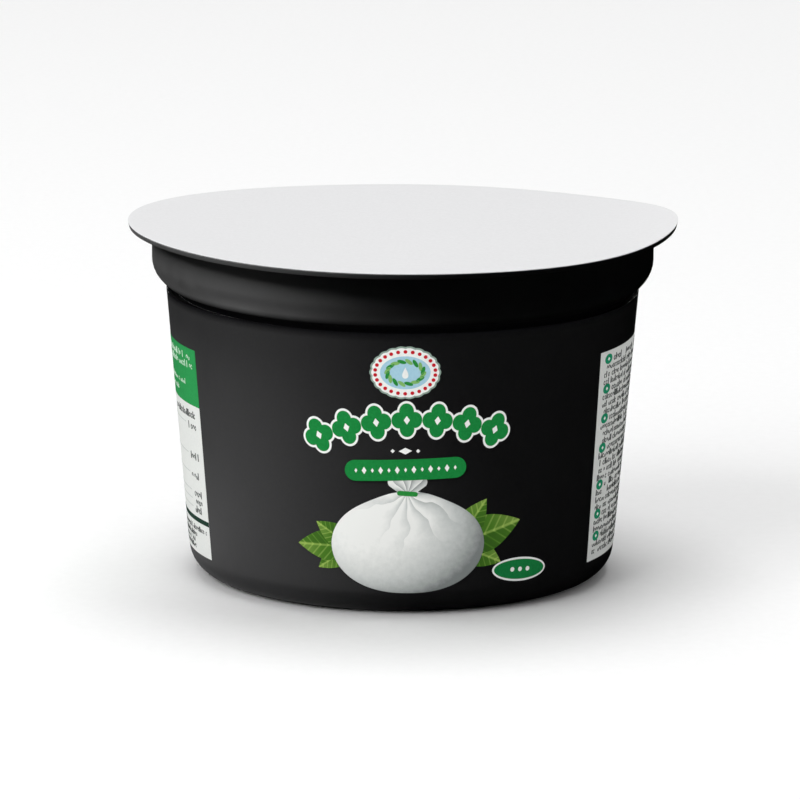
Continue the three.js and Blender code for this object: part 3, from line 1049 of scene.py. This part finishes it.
def front_pieces(sheets, marks, fan, inks):
    """The front's print: a medallion, an arched garland, a band, a tied cheese with leaves and an oval."""
    made = []
    sheet = partial(print_sheet, made, sheets)
    dots = partial(print_marks, made, marks)
    width, height = MEDALLION_HALF_SIZE

    def scalloped(inset):
        """The medallion's lobed outline, drawn in by an inset."""
        lobes = {"points": 16 * MEDALLION_LOBES, "lobes": MEDALLION_LOBES, "depth": MEDALLION_LOBE_DEPTH}
        return placed(ellipse(width - inset, height - inset, **lobes), *MEDALLION)

    def ring(count, share, level, size, lean):
        """Marks in a ring round the medallion's middle, at a share of its size."""
        rows = []
        for i in range(count):
            angle = 2 * math.pi * (i + 0.5) / count
            x = MEDALLION[0] + width * share[0] * math.cos(angle)
            y = MEDALLION[1] + height * share[1] * math.sin(angle)
            rows.append(mark_row(x, y, level, size, angle + lean))
        return rows

    field = ellipse(width * MEDALLION_FIELD_SHARE[0], height * MEDALLION_FIELD_SHARE[1])
    sheet("medallion_rim", inks["sage"], (1, scalloped(0)))
    sheet("medallion_ground", inks["white"], (2, scalloped(MEDALLION_RIM)))
    sheet("medallion_field", inks["sky"], (3, placed(field, *MEDALLION)))
    beads = ring(MEDALLION_BEADS, MEDALLION_BEAD_SHARE, 3, MEDALLION_BEAD_SIZE, 0)
    dots("medallion_beads", inks["red"], BEAD_SIDES, beads)
    wreath = ring(MEDALLION_LEAVES, MEDALLION_LEAF_SHARE, 4, MEDALLION_LEAF_SIZE, MEDALLION_LEAF_LEAN)
    dots("medallion_wreath", inks["leaf"], BEAD_SIDES, wreath[0::2])
    dots("medallion_pale_wreath", inks["meadow"], BEAD_SIDES, wreath[1::2])
    sheet("medallion_drop", inks["white"], (5, placed(drop(MEDALLION_DROP_RADIUS), *MEDALLION)))

    studs, petals, borders = [], [], []
    for i in range(GARLAND_FLOWERS):
        angle = GARLAND_HALF_ANGLE * (2 * i / (GARLAND_FLOWERS - 1) - 1)
        turn = FRONT_TILT - angle
        middle = (GARLAND_RADIUS * math.sin(angle), GARLAND_RADIUS * (math.cos(angle) - 1))
        x, y = placed([middle], *GARLAND_MIDDLE, FRONT_TILT)[0]
        for swell, group in ((GARLAND_BORDER, borders), (0, petals)):
            shape = flower(GARLAND_PETAL_REACH, GARLAND_PETAL_RADIUS + swell)
            shape = [(across * GARLAND_WIDTH_SHARE, up) for across, up in shape]
            group.append(placed(shape, x, y, turn))
        studs.append(mark_row(x, y, 3, GARLAND_STUD_SIZE, turn))
    sheet("garland_edge", inks["white"], (1, *borders))
    sheet("garland_ground", inks["green"], (2, *petals))
    dots("garland_studs", inks["white"], LOZENGE_SIDES, studs)

    x, y = SMALL_ORNAMENT
    trio = [mark_row(x + off, y, 1, size, FRONT_TILT) for off, *size in SMALL_ORNAMENT_MARKS]
    dots("small_ornament", inks["white"], LOZENGE_SIDES, trio)

    sheet("band_ground", inks["green"], (3, placed(stadium(*BAND_HALF_SIZE), *BAND, FRONT_TILT)))
    lozenges = []
    for i in range(BAND_MARKS):
        offset = (BAND_HALF_SIZE[0] - BAND_END_GAP) * (2 * i / (BAND_MARKS - 1) - 1)
        x, y = placed([(offset, 0)], *BAND, FRONT_TILT)[0]
        share = 1.0 if i % 2 else BAND_SMALL_MARK_SHARE
        lozenges.append(mark_row(x, y, 4, [share * side for side in BAND_MARK_SIZE], FRONT_TILT))
    dots("band_beads", inks["white"], LOZENGE_SIDES, lozenges)

    ball = placed(pouch(*CHEESE_HALF_SIZE), *CHEESE)
    frill = ruffle(FRILL_RADIUS, FRILL_HALF_ANGLE, FRILL_LOBES, FRILL_LOBE_DEPTH)
    sheet("cheese_body", inks["cheese"], (2, ball), (1, placed(frill, *CHEESE_NECK)))
    sheet("cheese_tie", inks["leaf"], (3, placed(stadium(*TIE_HALF_SIZE), *CHEESE_NECK, TIE_TILT)))

    one_leaf = ink_mesh("leaf", [ink_sheet(1, leaf(LEAF_HALF_WIDTH), grid=LEAF_GRID, unit=1.0)])
    for name, first, last, x, y, length in LEAF_FANS:
        spread = {"First Turn": math.radians(first), "Last Turn": math.radians(last)}
        root = {"Root X": x * MM, "Root Y": y * MM, "Length": length * MM}
        made.append(grow(name, one_leaf.copy(), fan, {**spread, **root, "Material": inks["leaves"]}))

    width, height = OVAL_HALF_SIZE
    inner = ellipse(width - OVAL_BORDER, height - OVAL_BORDER)
    sheet("oval_edge", inks["white"], (1, placed(ellipse(width, height), *OVAL, OVAL_TILT)))
    sheet("oval_ground", inks["deep_green"], (2, placed(inner, *OVAL, OVAL_TILT)))
    beads = []
    for off in (-OVAL_BEAD_SPACING, 0, OVAL_BEAD_SPACING):
        size = (OVAL_BEAD_SIZE, OVAL_BEAD_SIZE)
        beads.append(mark_row(OVAL[0] + off, OVAL[1] - OVAL_BEAD_FALL * off, 3, size))
    dots("oval_beads", inks["white"], ROUND_SIDES, beads)
    return made


def side_pieces(sheets, marks, lines, inks):
    """The two side panels, with curls and strokes for text that is too small to read, and the back seam."""
    made = []
    sheet = partial(print_sheet, made, sheets)
    dots = partial(print_marks, made, marks)
    text = partial(print_lines, made, lines)

    left, foot, right, head = LEFT_PANEL
    sheet("left_panel", inks["panel"], (1, panel(left, foot, right, LEFT_HEADER_FOOT)))
    sheet("left_header", inks["header"], (1, panel(left, LEFT_HEADER_FOOT, right, head)))
    sheet("left_rule", inks["dark_green"], (2, panel(left, LEFT_RULE[0], right, LEFT_RULE[1])))
    hairs = []
    for y in LEFT_ROWS[1:]:
        low, high = y + LEFT_HAIRLINE[0], y + LEFT_HAIRLINE[1]
        hairs.append((2, panel(left + LEFT_MARGIN, low, LEFT_TEXT_EDGE - LEFT_HAIRLINE_INSET, high)))
    sheet("left_hairlines", inks["hairline"], *hairs)

    def inset_line(y, inset, tall):
        """A line that starts at the right edge, less its inset, and runs to the left."""
        return line_row(LEFT_TEXT_EDGE - inset, y, LEFT_TEXT_LENGTH - inset, tall, TO_THE_LEFT)

    text("left_header_text", inks["pale"], [inset_line(*row) for row in LEFT_HEADER_LINES], seed=5)
    lengths = [LEFT_HEADING_LENGTH] + [LEFT_FIGURE_LENGTH] * (len(LEFT_ROWS) - 1)
    rows = []
    for y, long in zip(LEFT_ROWS, lengths):
        rows.append(line_row(LEFT_TEXT_EDGE, y, long, LEFT_ROW_TALL, TO_THE_LEFT))
    for y in LEFT_ROWS:
        name = (left + LEFT_MARGIN, y + LEFT_NAME_RISE, LEFT_NAME_LENGTH, LEFT_ROW_TALL)
        rows.append(line_row(*name, TO_THE_RIGHT))
    text("left_rows", inks["text"], rows, seed=8)
    fine = [inset_line(y, inset, LEFT_FINE_TALL) for y, inset in LEFT_FINE_LINES]
    text("left_fine_text", inks["text"], fine, seed=2)

    left, foot, right, head = RIGHT_PANEL
    # Painted shade: the right panel takes the darker copy of the panel white
    sheet("right_panel", inks["shaded_panel"], (1, panel(left, foot, right, head, RIGHT_LEAN)))
    wide, tall = RIGHT_DOT
    stud = (wide * RIGHT_STUD_SHARE[0], tall * RIGHT_STUD_SHARE[1])
    rows, headings, spots, studs = [], [], [], []
    number = 0
    for count in RIGHT_BLOCK_LINES:
        for i in range(count):
            y = RIGHT_FIRST_LINE - number * RIGHT_LINE_SPACING
            x = left - RIGHT_LEAN * (y - foot) / (head - foot) + RIGHT_MARGIN
            number += 1
            if i == 0:
                spots.append(mark_row(x + wide / 2, y, 2, RIGHT_DOT))
                studs.append(mark_row(x + wide / 2, y, 3, stud))
                start = x + wide + RIGHT_DOT_GAP
                headings.append(line_row(start, y, RIGHT_HEADING_LENGTH, RIGHT_HEADING_TALL, TO_THE_RIGHT))
            else:
                share = RIGHT_LAST_LINE_SHARE if i == count - 1 else 1
                rows.append(line_row(x, y, RIGHT_TEXT_LENGTH * share, RIGHT_TEXT_TALL, TO_THE_RIGHT))
    text("right_headings", inks["text"], headings, seed=11)
    text("right_text", inks["text"], rows, seed=13)
    dots("right_dots", inks["dot"], ROUND_SIDES, spots)
    dots("right_dot_studs", inks["white"], LOZENGE_SIDES, studs)

    back = math.pi * WALL_WRAP["Spread Radius"] / MM
    foot, head = BASE_CORNER_RADIUS / MM, WALL_LIP / MM
    seam = panel(back - SEAM_HALF_WIDTH, foot, back + SEAM_HALF_WIDTH, head)
    sheet("film_seam", inks["seam"], (1, seam))
    return made


# Studio

def from_front(azimuth, elevation, distance):
    """The step to a point, its azimuth counted from the front towards +X and both angles in degrees."""
    around, up = math.radians(azimuth), math.radians(elevation)
    level = distance * math.cos(up)
    return Vector((level * math.sin(around), -level * math.cos(around), distance * math.sin(up)))


def area_light(name, place, aim, size, watts):
    """A soft rectangular light at a place, facing its aim."""
    light = bpy.data.lights.new(name, "AREA")
    light.shape = "RECTANGLE"
    light.size, light.size_y = size
    light.energy = watts
    lamp = bpy.data.objects.new(name, light)
    lamp.location = place
    lamp.rotation_euler = (place - aim).to_track_quat("Z", "Y").to_euler()
    bpy.context.scene.collection.objects.link(lamp)
    return lamp


def fade_across(lamp, start, end):
    """Makes an area light die away across its width, so that its end doesn't show in the plastic."""
    lamp.data.use_nodes = True
    tree = lamp.data.node_tree
    place = add(tree, "ShaderNodeNewGeometry")["Parametric"]
    across, _, _ = add(tree, "ShaderNodeSeparateXYZ", {0: place})
    fade = {0: across, 1: start, 2: end, 3: 0.0, 4: 1.0}
    fade = add(tree, "ShaderNodeMapRange", fade, interpolation_type="SMOOTHSTEP")[0]
    tree.links.new(fade, tree.nodes["Emission"].inputs["Strength"])


def light_the_pot(name, azimuth, elevation, distance, size, watts):
    """A soft light about the pot, facing its middle."""
    middle = Vector((0, 0, LID_TOP / 2))
    return area_light(name, middle + from_front(azimuth, elevation, distance), middle, size, watts)


def studio():
    """A pale floor, soft light from above, all round and the left, and the camera.

    The sheen lights only shine on the dark plastic, so the white lid and print keep their tone.
    """
    mesh = bpy.data.meshes.new("floor")
    square = ((-1, -1), (1, -1), (1, 1), (-1, 1))
    corners = [(x * FLOOR_HALF_SIZE, y * FLOOR_HALF_SIZE, 0) for x, y in square]
    mesh.from_pydata(corners, [], [(0, 1, 2, 3)])
    mesh.materials.append(pale_studio_paper())
    floor = bpy.data.objects.new("floor", mesh)
    floor.visible_glossy = False
    bpy.context.scene.collection.objects.link(floor)

    light_the_pot(*OVERHEAD)
    light_the_pot(*SOFT_KEY).visible_glossy = False
    sheens = [light_the_pot(*sheen) for sheen in SHEENS]
    for name, x, y, width, depth, watts in TABLE_GLOW:
        place = Vector((x, y, TABLE_GLOW_HEIGHT)) * MM
        up = place + Vector((0, 0, 1))
        sheens.append(area_light(name, place, up, (width * MM, depth * MM), watts))
    fade_across(sheens[-1], *FOOT_GLOW_FADE)
    for sheen in sheens:
        sheen.visible_diffuse = False
        sheen.visible_camera = False

    world = bpy.data.worlds.new("studio")
    world.use_nodes = True
    sky = world.node_tree.nodes["Background"]
    sky.inputs["Color"].default_value = (1, 1, 1, 1)
    sky.inputs["Strength"].default_value = SKY_STRENGTH
    world.cycles_visibility.glossy = False
    bpy.context.scene.world = world
    bpy.context.scene.view_settings.view_transform = "Standard"

    camera = bpy.data.cameras.new("camera")
    camera.lens = CAMERA_LENS
    camera.sensor_width = CAMERA_SENSOR
    camera.clip_end = CAMERA_REACH
    viewer = bpy.data.objects.new("camera", camera)
    viewer.location = CAMERA_PLACE
    look = (CAMERA_AIM - CAMERA_PLACE).to_track_quat("-Z", "Y").to_matrix()
    viewer.rotation_euler = (look @ Matrix.Rotation(CAMERA_ROLL, 3, "Z")).to_euler()
    bpy.context.scene.collection.objects.link(viewer)
    bpy.context.scene.camera = viewer


def build():
    """Makes every piece, ties it to the pot's one body and hides the pot's and the lid's solids, which the
    turned pieces take the place of.
    """
    inks = {key: film_ink(*ink) for key, ink in INKS.items()}
    inks["cheese"] = cheese_ink()
    inks["leaves"] = leaf_ink()
    spring = rim_spring_tree()
    wrap = wall_wrap_tree(spring)
    turning, sheets, marks = turning_tree(spring), sheet_tree(wrap), marks_tree(wrap)
    pot, film, lid = pot_piece(turning), film_piece(turning), lid_piece(turning)
    prints = front_pieces(sheets, marks, fan_tree(wrap), inks)
    prints += side_pieces(sheets, marks, lines_tree(wrap), inks)
    for piece in (pot, film, lid, *prints):
        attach(piece, "root")
    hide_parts("pot")
    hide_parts("lid")


studio()
build()
